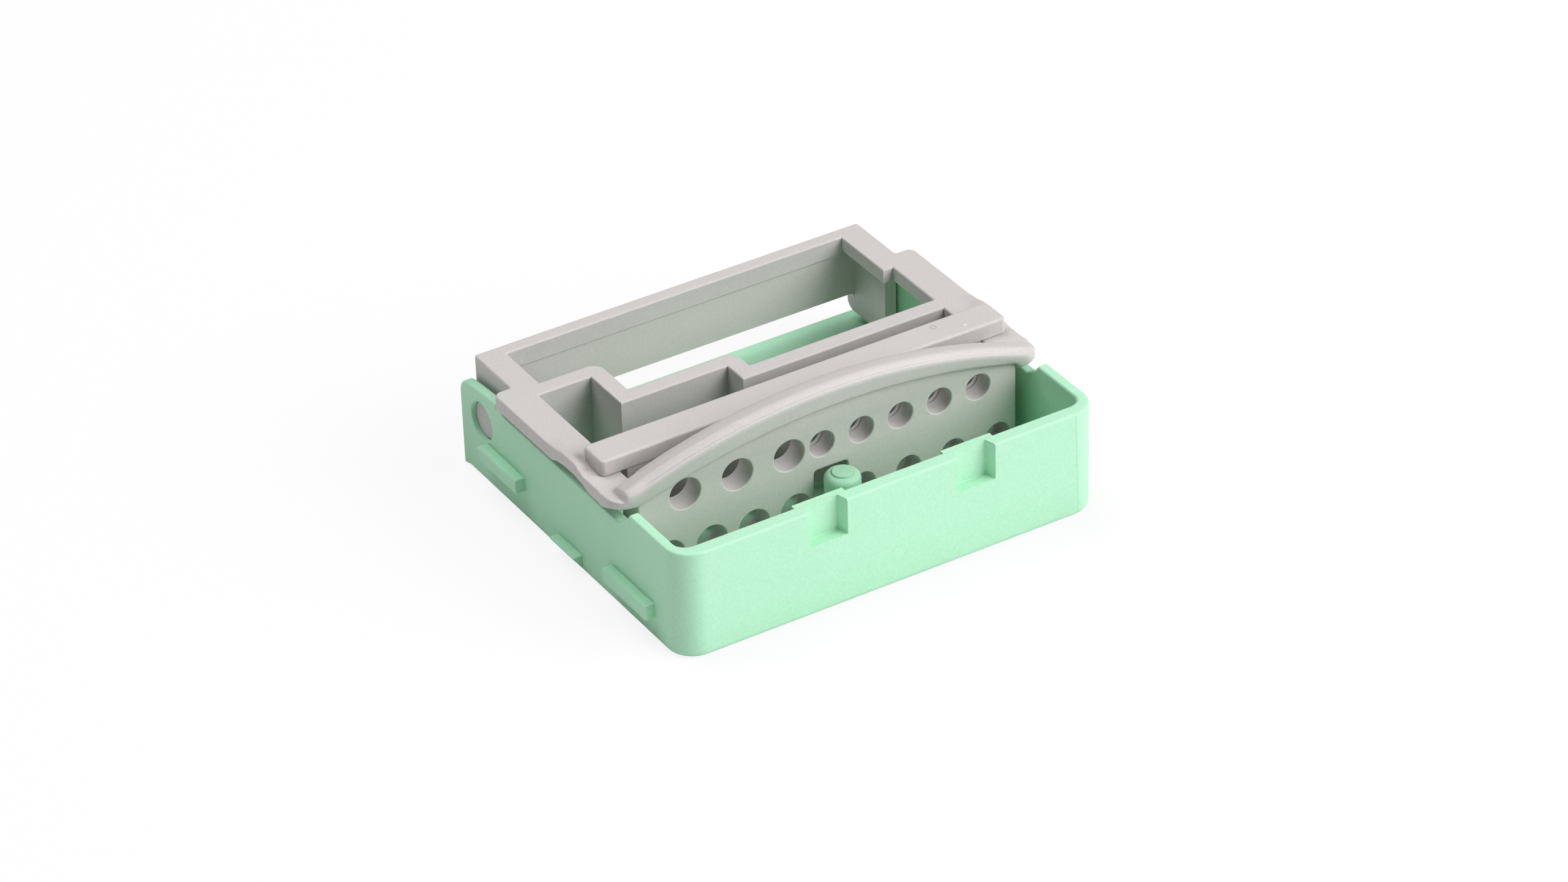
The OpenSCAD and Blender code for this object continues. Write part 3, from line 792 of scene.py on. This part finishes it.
def tray_rails(size, material):
    """The rails along both side walls, with softened ends."""
    values = {"Wall": size.width / 2 + (size.rail_out - RAIL_SUNK) / 2, "Depth": size.rail_out + RAIL_SUNK,
              "Thickness": RAIL_THICK, "Edge": 0.28, "Material": material}
    for rail, (place, length, height) in RAILS.items():
        values.update({rail + " place": place, rail + " length": length, rail + " height": height})
    bm = bmesh.new()
    bm.from_mesh(side_rails().run(bpy.data.meshes.new("rails"), values))
    ends = [e for e in bm.edges if abs(e.calc_face_angle(0)) > math.radians(80)]
    bmesh.ops.bevel(bm, geom=ends, offset=0.22, segments=3, profile=0.5, affect="EDGES")
    return closed(bm)


def tray_parts(size, material):
    front = -size.depth / 2
    shells = [carved(as_mesh(tray_wall(size)), [as_mesh(pocket_cutter(x, front)) for x in POCKETS])]
    shells += [as_mesh(pocket_pad(x, front)) for x in POCKETS]
    shells += [as_mesh(bm) for bm in tray_floor(size) + [tray_post()]]
    shells += [as_mesh(placed(side_catch(size), side)) for side in SIDES]
    return shells + [as_mesh(tray_rails(size, material))]


# Bur block

TOP, UNDER = 14.55, 12.75
PANEL_BACK, PANEL_FACE, LIP_FRONT = -8.6, -11.5, -12.35
PANEL_X, CHANNEL_X, WINDOW_X = 25.35, 24.3, 22.95
FRAME_X, SHOULDER, STEP_Y = 28.6, 15.5, 13.0
CHEEK_IN, CHEEK_X, BACK_IN, BACK_Y = 24.75, 26.3, 22.35, 23.95
CHEEK_FOOT, BACK_FOOT, BACK_BAND = 3.35, 6.05, 12.1
STOP_THICK, STOP_FOOT = 2.2, 2.8
LONG_X, MID_X = -17.4, -3.2
LONG_Y, MID_Y, SHORT_Y = 12.35, 5.5, 2.05
STOP_FRONT = [(LONG_X, LONG_Y), (LONG_X, MID_Y), (MID_X, MID_Y), (MID_X, SHORT_Y)]
STOP_BACK = [(x + STOP_THICK, y + STOP_THICK, r)
             for (x, y), r in zip(STOP_FRONT, (1.7, 0.2, 1.7, 0.2))]
SHORT_BACK = SHORT_Y + STOP_THICK
LONG_BACK = LONG_Y + STOP_THICK

# Each row of holes: number, first place, pitch and height
HOLES = {
    "Upper large": (3, -19.208, 6.849, 12.25), "Upper small": (5, -1.148, 5.298, 12.25),
    "Lower large": (4, -21.549, 5.6, 4.65), "Lower small": (4, 4.301, 6.149, 4.65),
}
# Heights along the frame's side rims, from front to back
RIM_TOP = [(-12.4, 14.46), (-8.8, 14.36), (-5.2, 14.36), (-4.3, 14.6), (-3.3, 15.06), (-2.2, 15.12),
           (-0.4, 15.04), (1.6, 14.72), (3.2, TOP), (16.0, TOP)]
RIM_UNDER = [(-12.4, UNDER), (-6.4, UNDER), (-4.4, 13.3), (-3.0, 13.52), (-0.8, 13.5), (0.6, 13.3),
             (2.4, UNDER), (16.0, UNDER)]
SEAT = TOP - 0.35
LIP_CORNER, LIP_END, LIP_EDGE = 2.6, 27.1, 0.25


def outer_rim(a):
    """0 on the bar's seat and 1 on the side rim, for a distance from the middle."""
    return smooth(25.9, 28.3, a)


def frame_shell():
    """The frame with the top of the stop wall: flat behind, dished for the bar and waved along its rims."""
    near = PANEL_BACK + 0.3
    rim = [(-FRAME_X, near), (-FRAME_X, PANEL_BACK), (-CHANNEL_X, PANEL_BACK), (-CHANNEL_X, near),
           (-CHANNEL_X, LONG_Y)] + STOP_FRONT
    rim += [(CHANNEL_X, SHORT_Y), (CHANNEL_X, near), (CHANNEL_X, PANEL_BACK), (FRAME_X, PANEL_BACK),
            (FRAME_X, near), (FRAME_X, SHOULDER, 1.0), (CHEEK_X, SHOULDER, 0.3), (CHEEK_X, BACK_Y, 0.4),
            (-CHEEK_X, BACK_Y, 0.4), (-CHEEK_X, SHOULDER, 0.3), (-FRAME_X, SHOULDER, 1.0)]
    behind = 22.15
    window = [(-WINDOW_X, LONG_BACK)] + STOP_BACK
    window += [(CHANNEL_X, SHORT_BACK), (CHANNEL_X, STEP_Y), (WINDOW_X, STEP_Y), (WINDOW_X, behind),
               (-WINDOW_X, behind)]

    def under_edge(p):
        return 0.2 if abs(p.x) > CHEEK_X + 0.05 and p.y > PANEL_BACK + 0.1 else 0.0

    def top_edge(p):
        return LIP_EDGE if p.y > PANEL_BACK + 0.1 else 0.0

    bm = plate(outline(rim, 8), UNDER, TOP, under_edge, top_edge, [outline(window, 10)])
    sliced(bm, 0, [s * (CHANNEL_X + 0.33 * k) for k in range(13) for s in (-1, 1)])
    sliced(bm, 1, [PANEL_BACK + 0.4 * k for k in range(34)])

    def dish(x, y, z):
        if abs(x) < CHANNEL_X - 0.05:
            return x, y, z
        seat = TOP + (SEAT - TOP) * (1 - smooth(-1.9, -0.2, y))
        top = seat + (curve_value(RIM_TOP, y) - seat) * outer_rim(abs(x))
        under = UNDER + (curve_value(RIM_UNDER, y) - UNDER) * smooth(26.6, 27.6, abs(x))
        return x, y, under + (top - under) * (z - UNDER) / (TOP - UNDER)

    return placed(bm, dish)


def stop_wall():
    """The stepped stop wall under the frame."""
    corners = [(-PANEL_X, LONG_Y)] + STOP_FRONT + [(PANEL_X, SHORT_Y), (PANEL_X, SHORT_BACK)]
    corners += STOP_BACK[::-1] + [(-PANEL_X, LONG_BACK)]
    return plate(outline(corners, 10), STOP_FOOT, UNDER, 0.15, 0.0)


def cheeks_and_back():
    """The back wall with its thicker band, the two cheeks and their trunnions."""
    corners = [(-CHEEK_X, SHOULDER), (-CHEEK_IN, SHOULDER), (-CHEEK_IN, BACK_IN), (CHEEK_IN, BACK_IN),
               (CHEEK_IN, SHOULDER), (CHEEK_X, SHOULDER), (CHEEK_X, BACK_Y, 0.4), (-CHEEK_X, BACK_Y, 0.4)]
    shells = [plate(outline(corners), BACK_FOOT, UNDER, 0.0, 0.0)]
    band = [(-WINDOW_X, 22.15), (WINDOW_X, 22.15), (WINDOW_X, 22.6), (-WINDOW_X, 22.6)]
    shells.append(plate(outline(band), BACK_BAND, UNDER, 0.12, 0.0))
    cheek = outline([(SHOULDER, CHEEK_FOOT, 0.3), (BACK_Y, CHEEK_FOOT, 1.3), (BACK_Y, BACK_FOOT),
                     (SHOULDER, BACK_FOOT)], 8)
    turns = [math.pi / 2 * k / 4 for k in range(5)]
    root, end, radius, edge = 25.4, 27.45, 2.4, 0.3
    pin = [(0, root), (radius, root)]
    pin += [(radius - edge + edge * math.cos(t), end - edge + edge * math.sin(t)) for t in turns]
    pin += [(0, end)]
    u, v, fillet = CHEEK_IN, BACK_FOOT, 0.6
    web = [Vector((u, v))]
    web += [Vector((u - fillet + fillet * math.cos(t), v - fillet + fillet * math.sin(t))) for t in turns]
    for side in SIDES:
        shells.append(placed(plate(cheek, CHEEK_IN, CHEEK_X, 0.0, 0.0), lambda *p: side(*side_on(*p))))
        shells.append(placed(lathe(pin), lambda x, y, z: side(z, HINGE_Y + x, HINGE_Z + y)))
        shells.append(placed(plate(web, BACK_IN, BACK_Y, 0.0, 0.0), lambda *p: side(*front_on(*p))))
    return shells


def arch_radius(size):
    """Radius of the circle through the lip's crest and the frame's two sides."""
    return (FRAME_X ** 2 + size.arch ** 2) / (2 * size.arch)


def arch_height(size, x):
    """Height of the lip's crest at x."""
    radius = arch_radius(size)
    return TOP + size.arch - radius + math.sqrt(radius ** 2 - x ** 2)


def under_height(size, x):
    """Height of the lip's lower edge at x, on a flatter circle whose centre lies to the right."""
    radius, band, aside = 1.12 * arch_radius(size), 2.8, 1.0
    return TOP + size.arch - band - radius + math.sqrt(radius ** 2 - (x - aside) ** 2)


def panel_plate(size):
    """The panel with its notch and without its holes."""
    foot, notch, notch_top, steps = FLOOR + 0.3, 2.225, 8.85, 40
    places = [PANEL_X - 2 * PANEL_X * k / steps for k in range(steps + 1)]
    top = [(x, arch_height(size, x) - 1.76) for x in places]
    corners = [(-PANEL_X, foot), (-notch, foot), (-notch, notch_top, 0.4), (notch, notch_top, 0.4),
               (notch, foot), (PANEL_X, foot)]
    return placed(plate(outline(corners + top), PANEL_FACE, PANEL_BACK, 0.3, 0.1), front_on)


def bur_cutter(size, diameter, neck):
    """Cuts a bur's hole along Y: a rounded mouth, the hole and a short neck at the panel's back."""
    r, neck_at = diameter / 2, PANEL_BACK - 0.45
    turns = [math.pi / 2 * k / 5 for k in range(6)]
    mouth = [(r + size.mouth * (1 - math.sin(t)), PANEL_FACE + size.mouth * (1 - math.cos(t))) for t in turns]
    profile = [(0, PANEL_FACE - 1), (r + size.mouth, PANEL_FACE - 1)] + mouth
    profile += [(r, neck_at), (neck / 2, neck_at), (neck / 2, PANEL_BACK + 1), (0, PANEL_BACK + 1)]
    return placed(lathe(profile, 48), lambda x, y, z: (x, z, y))


# Section of the lip from the panel's back round its ridge and bead to the underside, as distance
# before the panel's back and height over the crest, and the same points where the lip has faded
LIP_DEPTH = 3.75
LIP_SECTION = [
    (0.0, -1.7), (0.0, -1.2), (0.12, -0.92), (0.4, -0.62), (0.8, -0.38), (1.6, -0.18), (2.4, -0.04),
    (2.76, 0.0), (2.84, -0.03), (2.9, -0.19), (2.98, -0.26), (3.27, -0.42), (3.34, -0.53), (3.42, -0.47),
    (3.54, -0.46), (3.66, -0.56), (3.75, -0.84), (3.74, -1.1), (3.7, -1.35), (3.64, -1.8)]
LIP_FADED = [
    (0.0, 0.0), (0.0, 0.0), (0.4, 0.0), (0.6, 0.0), (0.8, -0.42), (1.6, -0.18), (2.5, -0.04),
    (2.9, 0.0), (3.05, -0.03), (3.18, -0.08), (3.28, -0.13), (3.36, -0.18), (3.43, -0.24), (3.52, -0.32),
    (3.62, -0.44), (3.7, -0.6), (3.75, -0.86), (3.75, -1.05), (3.75, -1.2), (3.75, -1.4)]
LIP_SEATED, LIP_TOP = 4, 15
LIP_ENDS = [28.3, 28.15, 28.0, 27.9, 27.8, 27.7, 27.6, 27.5, 27.4, 27.3, 27.2, 27.1, 27.0, 26.9, 26.8, 26.7,
            26.3, 25.95, 25.7, 25.35, 25.0, 24.6, 24.3, 24.15, 24.0, 23.9, 23.4, 22.6]


def corner_gap(a, y):
    """How far a point of the frame's front corner lies inside its rounded outline."""
    centre = LIP_FRONT + LIP_CORNER
    if y > centre or a < FRAME_X - LIP_CORNER:
        return min(FRAME_X - a, y - LIP_FRONT)
    return LIP_CORNER - math.hypot(a - FRAME_X + LIP_CORNER, y - centre)


def lip_places():
    """Places of the lip's sections along X, close together towards its ends."""
    ends = [FRAME_X - LIP_CORNER * (1 - math.sin(math.radians(turn))) for turn in (90, 84, 78, 70)]
    right = ends + LIP_ENDS + [21.6 - 21.6 * k / 24 for k in range(24)]
    return [-x for x in right] + [0.0] + right[::-1]


def lip_rows(size):
    """Sections of the finger lip from left to right.

    Its ridge and bead fade towards the ends, where it stops short on the frame's flat corners."""
    rows = []
    for x in lip_places():
        a = abs(x)
        bow = max(0.0, a - FRAME_X + LIP_CORNER)
        front = LIP_FRONT + LIP_CORNER - math.sqrt(max(0.0, LIP_CORNER ** 2 - bow ** 2))
        depth = (PANEL_BACK - front) / LIP_DEPTH
        end = LIP_END + (0.7 if x > 0 else 0.0)
        fade, flat, seat = smooth(24.0, end, a), smooth(end - 0.3, end + 0.3, a), smooth(23.9, 24.25, a)
        crest = arch_height(size, x)
        level = SEAT + 0.16 * outer_rim(a)
        nose = smooth(25.0, 25.7, a)
        open_below = a < PANEL_X

        def under(y):
            """The underside at y, which rises under the frame's front corners."""
            return under_height(size, x) * (1 - nose) + (UNDER + 0.5 * smooth(8.7, 10.9, -y)) * nose

        row = []
        for k, ((y1, z1), (y0, z0)) in enumerate(zip(LIP_SECTION, LIP_FADED)):
            share = seat if k < LIP_SEATED else fade
            y = PANEL_BACK - (y1 + (y0 - y1) * share) * depth
            low = (level - 1.0 if k == 0 else level) if k < LIP_SEATED else crest + z0
            height = crest + z1 + (low - crest - z1) * share
            bare = max(0.0, LIP_EDGE - max(0.0, corner_gap(a, y))) * smooth(0.0, 0.4, PANEL_BACK - y)
            corner = level - LIP_EDGE + math.sqrt(LIP_EDGE ** 2 - bare ** 2)
            if k > LIP_TOP:
                corner = level - LIP_EDGE + (under(y) + 0.3 - level + LIP_EDGE) * (k - LIP_TOP) / 5
            if k:
                height += (corner - height) * flat
            row.append((x, y, height))
        for y, z in [(3.6, 0.22), (3.52, 0.08), (3.4, 0.0), (2.6 if open_below else 1.6, 0.0)]:
            y = PANEL_BACK - y * depth
            row.append((x, y, under(y) + z * (1 - smooth(28.1, FRAME_X, a))))
        if open_below:
            row.append((x, y, max(under(y) + 0.05, min(crest - 1.4, under(y) + 1.0))))
        else:
            row.append((x, PANEL_BACK, UNDER))
        rows.append(row)
    return rows


def block_parts(size, material):
    shells = [as_mesh(bm) for bm in [frame_shell(), stop_wall()] + cheeks_and_back() + [loft(lip_rows(size))]]
    sizes = {row: (size.large_hole, size.large_hole) if "large" in row else (size.small_hole, 3.0)
             for row in HOLES}
    cutters = {row: bur_cutter(size, *sizes[row]) for row in HOLES}
    return shells + [perforated(as_mesh(panel_plate(size)), cutters, material)]


# Lock bar

BAR_LEFT, BAR_RIGHT, BAR_FRONT, BAR_BACK = -26.8, 27.6, -6.15, -1.95
BAR_UNDER, BAR_TOP, BAR_CORNER = 14.25, 16.3, 0.65
TRAVEL, END_GAP, GRIP = 0.8, 0.1, 8.3
COMB_FRONT, COMB_THICK, COMB_FOOT, COMB_ROOT = -5.95, 1.5, 2.8, 15.2
CATCH_OUT, CATCH_UNDER, CATCH_TOP = 1.5, 11.5, 12.7
COMB_LARGE, COMB_SMALL = 3.1, 2.3


def comb_cutter(diameter, drop):
    """Cuts the comb along Y: a round hole, or a slot that opens downwards by drop."""
    r = diameter / 2
    shape = ring(0, 0, r, 32)
    if drop:
        shape = [Vector((r * math.cos(math.pi * k / 16), r * math.sin(math.pi * k / 16))) for k in range(17)]
        shape += [Vector((-r, -drop)), Vector((r, -drop))]
    return placed(plate(shape, -8.0, -3.0, 0.0, 0.0, steps=1), front_on)


def bar_parts(size, material):
    back, ramp = BAR_FRONT + size.grip_step, 0.12
    corners = [(BAR_LEFT, BAR_FRONT, BAR_CORNER), (BAR_LEFT + GRIP, BAR_FRONT),
               (BAR_LEFT + GRIP + ramp, back), (BAR_RIGHT - GRIP - ramp, back), (BAR_RIGHT - GRIP, BAR_FRONT),
               (BAR_RIGHT, BAR_FRONT, BAR_CORNER), (BAR_RIGHT, BAR_BACK, BAR_CORNER),
               (BAR_LEFT, BAR_BACK, BAR_CORNER)]
    bar = plate(outline(corners, 8), BAR_UNDER, BAR_TOP, 0.15, size.edge, steps=5)
    left, right = END_GAP + TRAVEL - CHANNEL_X, CHANNEL_X - END_GAP
    comb = outline([
        (left, COMB_FOOT), (right, COMB_FOOT), (right, CATCH_UNDER), (right + CATCH_OUT, CATCH_UNDER, 0.2),
        (right + CATCH_OUT, CATCH_TOP, 0.2), (right, CATCH_TOP), (right, COMB_ROOT), (left, COMB_ROOT),
        (left, CATCH_TOP), (left - CATCH_OUT, CATCH_TOP, 0.2), (left - CATCH_OUT, CATCH_UNDER, 0.2),
        (left, CATCH_UNDER)])
    blank = placed(plate(comb, COMB_FRONT, COMB_FRONT + COMB_THICK, 0.1, 0.1), front_on)
    cutters = {row: comb_cutter(COMB_LARGE if "large" in row else COMB_SMALL, 0 if "Upper" in row else 6)
               for row in HOLES}
    return [as_mesh(bar), perforated(as_mesh(blank), cutters, material, TRAVEL)]


# Moulding marks: mask, strength and shape in millimetres

TRAY_MARKS = (
    (line_mark, 0.3, (24.5, -24.75, 13.7), (24.95, -24.75, 0.4), 0.1),
    (line_mark, -0.3, (26.75, -20.5, 14.0), (27.95, -20.55, 14.0), 0.12),
    (line_mark, -0.3, (-26.75, -20.5, 14.0), (-27.95, -20.55, 14.0), 0.12),
    (ring_mark, 0.12, (0.45, -24.75, 4.22), 1.0, 0.15),
)
BAR_MARKS = (
    (ring_mark, 0.6, (19.38, -3.16, BAR_TOP), 0.35, 0.15),
    (ring_mark, -0.6, (22.71, -4.79, BAR_TOP), 0.1, 0.2),
)


# Operators

class BURHOLDER_OT_tray(bpy.types.Operator):
    """Model the green tray with its walls, floor, pockets, post and rails"""
    bl_idname = "burholder.tray"
    bl_label = "Tray"

    def execute(self, context):
        finish = context.scene.bur_holder_finish
        green = moulded_plastic("tray_plastic", finish.tray_colour, finish, TRAY_MARKS)
        shells = tray_parts(in_mm(context.scene.bur_holder_tray), green)
        moulding("tray", shells, "tray", "base_tray", green)
        return {"FINISHED"}


class BURHOLDER_OT_block(bpy.types.Operator):
    """Model the grey bur block with its frame, walls, panel and finger lip"""
    bl_idname = "burholder.block"
    bl_label = "Bur block"

    def execute(self, context):
        finish = context.scene.bur_holder_finish
        grey = moulded_plastic("block_plastic", finish.block_colour, finish)
        shells = block_parts(in_mm(context.scene.bur_holder_block), grey)
        moulding("block", shells, "block", "bur_block", grey)
        return {"FINISHED"}


class BURHOLDER_OT_bar(bpy.types.Operator):
    """Model the lock bar and its comb"""
    bl_idname = "burholder.bar"
    bl_label = "Lock bar"

    def execute(self, context):
        finish = context.scene.bur_holder_finish
        grey = moulded_plastic("bar_plastic", finish.block_colour, finish, BAR_MARKS)
        shells = bar_parts(in_mm(context.scene.bur_holder_bar), grey)
        moulding("bar", shells, "bar", "lock_bar", grey)
        return {"FINISHED"}


# Camera: azimuth, elevation and roll in degrees, and its place in metres
CAMERA_TURN = (-31.09, 33.276, -1.6645)
CAMERA_PLACE = (-0.271211, -0.451066, 0.351373)
KEY_PLACE, KEY_SIZE = (0.55, -0.66, 0.62), 0.9
TOP_PLACE, TOP_SIZE = (-0.20, 0.42, 1.12), 1.0
FLOOR_HALF = 6.0


def stand_camera(lens):
    """Puts the camera at the photograph's angle."""
    data = bpy.data.cameras.new("camera")
    data.sensor_width = 36.0
    data.lens = lens
    data.clip_start, data.clip_end = 0.01, 20.0
    azimuth, elevation, roll = (math.radians(a) for a in CAMERA_TURN)
    back = Vector((math.sin(azimuth) * math.cos(elevation), -math.cos(azimuth) * math.cos(elevation),
                   math.sin(elevation)))
    right = Vector((math.cos(azimuth), math.sin(azimuth), 0.0))
    up = back.cross(right)
    rolled = (math.cos(roll) * right + math.sin(roll) * up, math.cos(roll) * up - math.sin(roll) * right,
              back)
    camera = stand_in(data)
    camera.matrix_world = Matrix.Translation(CAMERA_PLACE) @ Matrix(rolled).transposed().to_4x4()
    return camera


def lay_floor():
    """Lays the pale floor under the object."""
    bm = bmesh.new()
    bmesh.ops.create_grid(bm, x_segments=1, y_segments=1, size=FLOOR_HALF)
    floor = stand_in(as_mesh(bm, "floor"))
    floor.data.materials.append(pale_floor())


def hang_lamp(name, place, size, power):
    """Hangs a square lamp that faces the object."""
    data = bpy.data.lights.new(name, "AREA")
    data.size = size
    data.energy = power
    obj = stand_in(data)
    obj.location = place
    obj.rotation_euler = (-Vector(place)).to_track_quat("-Z", "Y").to_euler()


class BURHOLDER_OT_stage(bpy.types.Operator):
    """Set the camera, the floor and the lamps"""
    bl_idname = "burholder.stage"
    bl_label = "Stage"

    def execute(self, context):
        scene, stage = context.scene, context.scene.bur_holder_stage
        scene.camera = stand_camera(stage.lens)
        scene.view_settings.view_transform = "Standard"
        scene.world = studio_world(stage.fill)
        lay_floor()
        hang_lamp("key", KEY_PLACE, KEY_SIZE, stage.key_power)
        hang_lamp("top", TOP_PLACE, TOP_SIZE, stage.top_power)
        return {"FINISHED"}


class BURHOLDER_PT_panel(bpy.types.Panel):
    """Bur holder tools in the sidebar"""
    bl_label = "Bur Holder"
    bl_idname = "BURHOLDER_PT_panel"
    bl_space_type = "VIEW_3D"
    bl_region_type = "UI"
    bl_category = "Bur Holder"

    def draw(self, context):
        for step in STEPS:
            self.layout.operator(step.bl_idname)


STEPS = (BURHOLDER_OT_tray, BURHOLDER_OT_block, BURHOLDER_OT_bar, BURHOLDER_OT_stage)
GROUPS = {"bur_holder_tray": TraySettings, "bur_holder_block": BlockSettings, "bur_holder_bar": BarSettings,
          "bur_holder_finish": FinishSettings, "bur_holder_stage": StageSettings}


def register():
    for cls in list(GROUPS.values()) + list(STEPS) + [BURHOLDER_PT_panel]:
        bpy.utils.register_class(cls)
    for name, group in GROUPS.items():
        setattr(bpy.types.Scene, name, bpy.props.PointerProperty(type=group))


def unregister():
    for name in GROUPS:
        delattr(bpy.types.Scene, name)
    for cls in [BURHOLDER_PT_panel] + list(reversed(STEPS)) + list(GROUPS.values()):
        bpy.utils.unregister_class(cls)


def main():
    register()
    for name in ("Cube", "Light", "Camera"):
        if name in bpy.data.objects:
            bpy.data.objects.remove(bpy.data.objects[name])
    bpy.ops.burholder.stage()
    bpy.ops.burholder.tray()
    bpy.ops.burholder.block()
    bpy.ops.burholder.bar()


if __name__ == "__main__":
    main()
